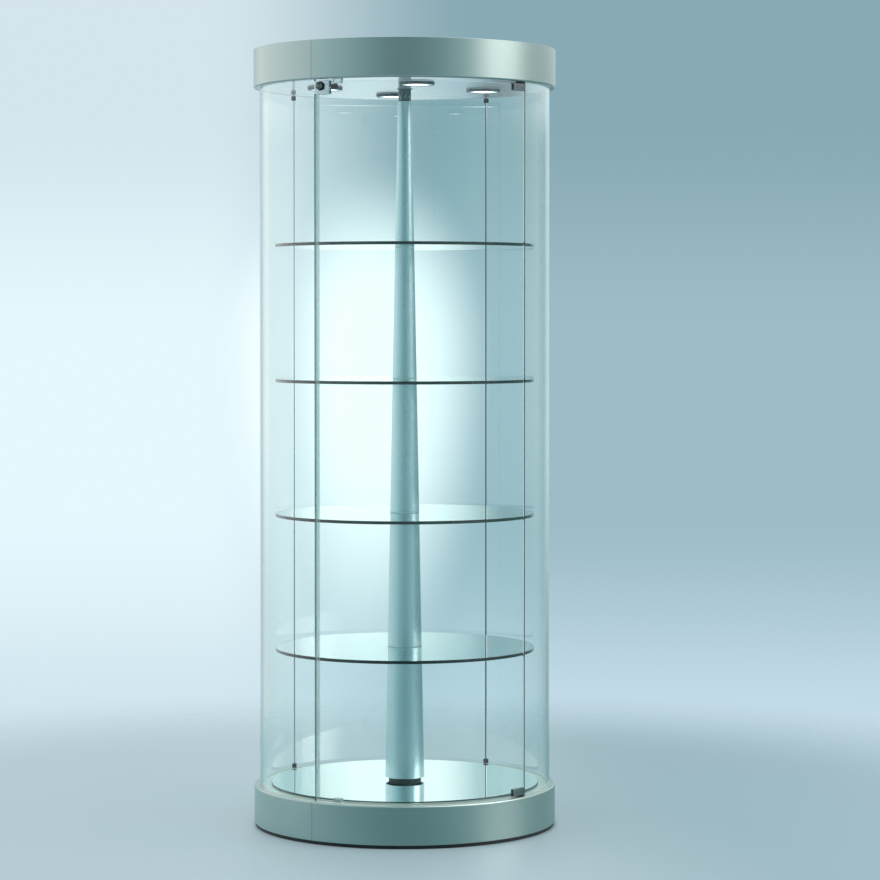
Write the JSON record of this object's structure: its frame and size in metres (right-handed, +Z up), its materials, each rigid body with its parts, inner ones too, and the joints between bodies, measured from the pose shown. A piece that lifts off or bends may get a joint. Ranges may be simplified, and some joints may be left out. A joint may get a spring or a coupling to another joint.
{
  "type": "revolving glass display cabinet",
  "caption": "Round free-standing glass display cabinet with a lit crown, a locking curved glass door and round glass shelves on a tapered column that revolves.",
  "frame": {"origin": "centre of the footprint at floor level, on the axis of the spindle", "axes": "+Z up along the spindle, -Y to the front where the door is, +X to the right where its hinges are"},
  "size_m": [0.7798, 0.7799, 2],
  "materials": {
    "band_silver": "metallic silver paint, satin",
    "board_black": "black painted board",
    "board_raw": "machined fibre board",
    "ledge_cream": "gloss cream lacquer",
    "ceiling_white": "high gloss white",
    "cover_grey": "satin silver grey paint",
    "mirror_glass": "polished mirror with dark ground edge",
    "panel_glass": "clear curved glass with polished green edges",
    "shelf_glass": "clear float glass with dark green polished edge",
    "column_satin": "satin silver lacquer",
    "spindle_steel": "zinc plated steel",
    "bearing_steel": "ground steel",
    "bright_chrome": "polished chrome",
    "dark_metal": "dark nickel",
    "key_nickel": "nickel plate",
    "black_plastic": "black moulded plastic",
    "gear_white": "natural moulded gear plastic",
    "bush_bronze": "sintered bronze",
    "motor_zinc": "plated can",
    "supply_grey": "light grey case",
    "lead_black": "black sheath",
    "lens_frost": "frosted lens",
    "clear_pvc": "translucent soft plastic",
    "stop_clear": "translucent white plastic",
    "screw_steel": "zinc plated"
  },
  "bodies": {
    "cabinet": {"base_band": "band_silver", "crown_band": "band_silver", "plinth": "board_black", "base_board": "board_raw", "base_posts": "board_raw", "base_deck": "board_raw", "crown_posts": "board_raw", "ledge_ring": "ledge_cream", "ceiling_panel": "ceiling_white", "crown_cover": "cover_grey", "mirror_disc": "mirror_glass", "glass_right": "panel_glass", "glass_back": "panel_glass", "glass_left": "panel_glass", "spindle_tube": "spindle_steel", "spindle_flange": "spindle_steel", "spindle_nut": "spindle_steel", "motor_bracket": "spindle_steel", "bearing_lower_race": "bearing_steel", "ball_cage": "bearing_steel", "chrome_sleeve": "bright_chrome", "lamp_housings": "bright_chrome", "joint_clips": "dark_metal", "bearing_collar": "black_plastic", "hinge_sockets": "black_plastic", "power_inlet": "black_plastic", "junction_box": "black_plastic", "gear_motor": "motor_zinc", "power_supply": "supply_grey", "supply_leads": "lead_black", "lamp_leads": "lead_black", "lamp_lenses": "lens_frost", "glazing_strips": "clear_pvc", "door_stops": "stop_clear", "pan_screws": "screw_steel"},
    "rotor": {"core_tube": "spindle_steel", "rotor_flange": "spindle_steel", "bearing_upper_race": "bearing_steel", "rotor_bushes": "bush_bronze", "drive_gear": "gear_white", "shelf_gaskets": "clear_pvc", "clamp_nut": "column_satin", "column_segment_1": "column_satin", "column_segment_2": "column_satin", "column_segment_3": "column_satin", "column_segment_4": "column_satin", "column_segment_5": "column_satin", "shelf_1": "shelf_glass", "shelf_2": "shelf_glass", "shelf_3": "shelf_glass", "shelf_4": "shelf_glass"},
    "pinion": {"motor_pinion": "bearing_steel"},
    "door": {"door_glass": "panel_glass", "hinge_clamps": "bright_chrome", "door_edge_seal": "clear_pvc", "lock_body": "bright_chrome", "lock_bar": "dark_metal"},
    "lock": {"lock_plug": "key_nickel", "lock_cam": "dark_metal", "key": "key_nickel"}
  },
  "joints": [
    {"name": "rotor_spin", "type": "hinge", "parent": "cabinet", "child": "rotor", "pos_m": [0, 0, 0.12], "axis": [0, 0, 1], "continuous": true},
    {"name": "pinion_spin", "type": "hinge", "parent": "cabinet", "child": "pinion", "pos_m": [0, 0.0751, 0.07], "axis": [0, 0, 1], "continuous": true},
    {"name": "door_swing", "type": "hinge", "parent": "cabinet", "child": "door", "pos_m": [0.25112, -0.27445, 1.0015], "axis": [0, 0, 1], "range_deg": [0, 100]},
    {"name": "lock_turn", "type": "hinge", "parent": "door", "child": "lock", "pos_m": [-0.24795, -0.27732, 1.885], "axis": [-0.6665, -0.7455, 0], "range_deg": [0, 90]}
  ],
  "couplings": [
    {"joint": "pinion_spin", "follows": "rotor_spin", "ratio": -4}
  ]
}
